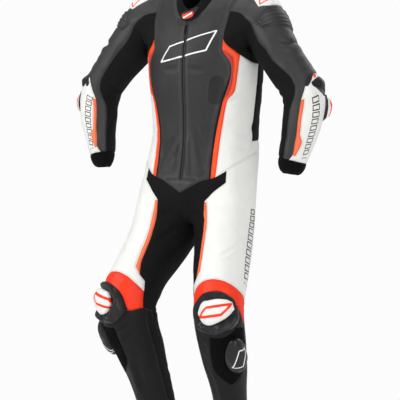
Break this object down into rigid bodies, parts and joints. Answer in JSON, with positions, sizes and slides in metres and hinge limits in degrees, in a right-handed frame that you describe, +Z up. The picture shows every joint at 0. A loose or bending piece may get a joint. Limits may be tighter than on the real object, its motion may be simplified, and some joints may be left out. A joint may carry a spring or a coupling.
{
  "type": "motorcycle race suit",
  "caption": "One-piece leather riding suit, filled out and hollow, with stretch inserts, moulded knee, elbow and shoulder guards and knee sliders.",
  "frame": {"origin": "where the wearer's shoulders hold the suit, at the middle of the trunk between the shoulder seams", "axes": "-Y the way the suit faces, +X its left side, +Z up"},
  "size_m": [0.9369, 0.479, 1.5038],
  "materials": {
    "leather": "matt grained leather",
    "perforated_leather": "finely perforated matt leather",
    "stretch": "ribbed stretch cloth",
    "white_leather": "smooth satin leather",
    "orange_leather": "smooth satin leather",
    "red_leather": "smooth satin leather",
    "red_mesh": "open knitted mesh",
    "knit": "fine rib knit",
    "moulded": "moulded satin plastic",
    "hook": "hook-and-loop"
  },
  "bodies": {
    "root": {"accordion_L": "stretch", "accordion_R": "stretch", "back_panel": "leather", "calf_panel_L": "stretch", "calf_panel_R": "stretch", "collar": "stretch", "collar_tab": "red_leather", "cuff_L": "knit", "cuff_R": "knit", "edging_strip_L": "stretch", "edging_strip_R": "stretch", "elbow_guard_L": "moulded", "elbow_guard_R": "moulded", "elbow_plate_L": "white_leather", "elbow_plate_R": "white_leather", "forearm_panel_L": "white_leather", "forearm_panel_R": "white_leather", "forearm_stripe_L": "orange_leather", "forearm_stripe_R": "orange_leather", "front_panel_L": "perforated_leather", "front_panel_R": "perforated_leather", "front_zip": "knit", "hip_stretch_L": "stretch", "hip_stretch_R": "stretch", "knee_band_L": "red_leather", "knee_band_R": "red_leather", "knee_cup_L": "moulded", "knee_cup_R": "moulded", "knee_plate_L": "white_leather", "knee_plate_R": "white_leather", "knee_slider_L": "moulded", "knee_slider_R": "moulded", "seat_panel_L": "leather", "seat_panel_R": "leather", "shin_panel_L": "leather", "shin_panel_R": "leather", "shoulder_cap_L": "white_leather", "shoulder_cap_R": "white_leather", "side_insert_L": "orange_leather", "side_insert_R": "orange_leather", "side_mesh_L": "red_mesh", "side_mesh_R": "red_mesh", "side_panel_L": "white_leather", "side_panel_R": "white_leather", "side_stretch_L": "stretch", "side_stretch_R": "stretch", "sleeve_leather_L": "leather", "sleeve_leather_R": "leather", "sleeve_stretch_L": "stretch", "sleeve_stretch_R": "stretch", "slider_patch_L": "hook", "slider_patch_R": "hook", "thigh_panel_L": "white_leather", "thigh_panel_R": "white_leather", "thigh_stripe_L": "orange_leather", "thigh_stripe_R": "orange_leather", "zip_gusset": "perforated_leather"}
  },
  "joints": []
}
